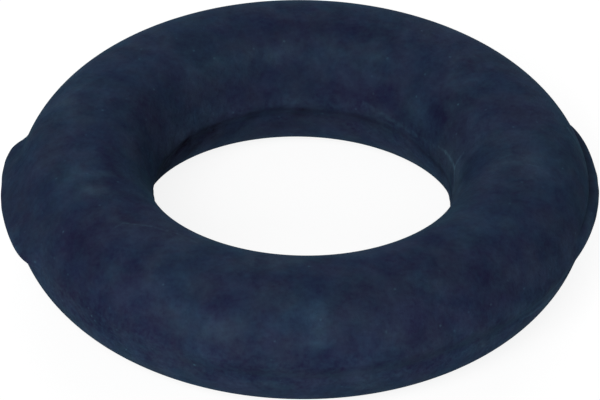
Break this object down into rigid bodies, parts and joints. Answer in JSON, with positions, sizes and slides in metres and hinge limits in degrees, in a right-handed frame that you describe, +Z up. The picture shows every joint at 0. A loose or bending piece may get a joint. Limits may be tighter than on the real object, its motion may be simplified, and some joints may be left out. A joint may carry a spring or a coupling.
{
  "type": "exhaust hanger rubber ring",
  "caption": "Thick moulded rubber ring with a raised seam and low grip lugs, stretched over hooks to hang a car's exhaust pipe and damp its shaking.",
  "frame": {"origin": "middle of the ring, halfway up the rubber", "axes": "+Z up along the ring's axis with the ring lying flat, +X towards the right grip lug, +Y away from the viewer in the picture"},
  "size_m": [0.0643, 0.0627, 0.0154],
  "materials": {
    "rubber": "matt blue-black moulded rubber with a cloudy bloom"
  },
  "bodies": {
    "root": {"hanger_ring": "rubber"}
  },
  "joints": []
}
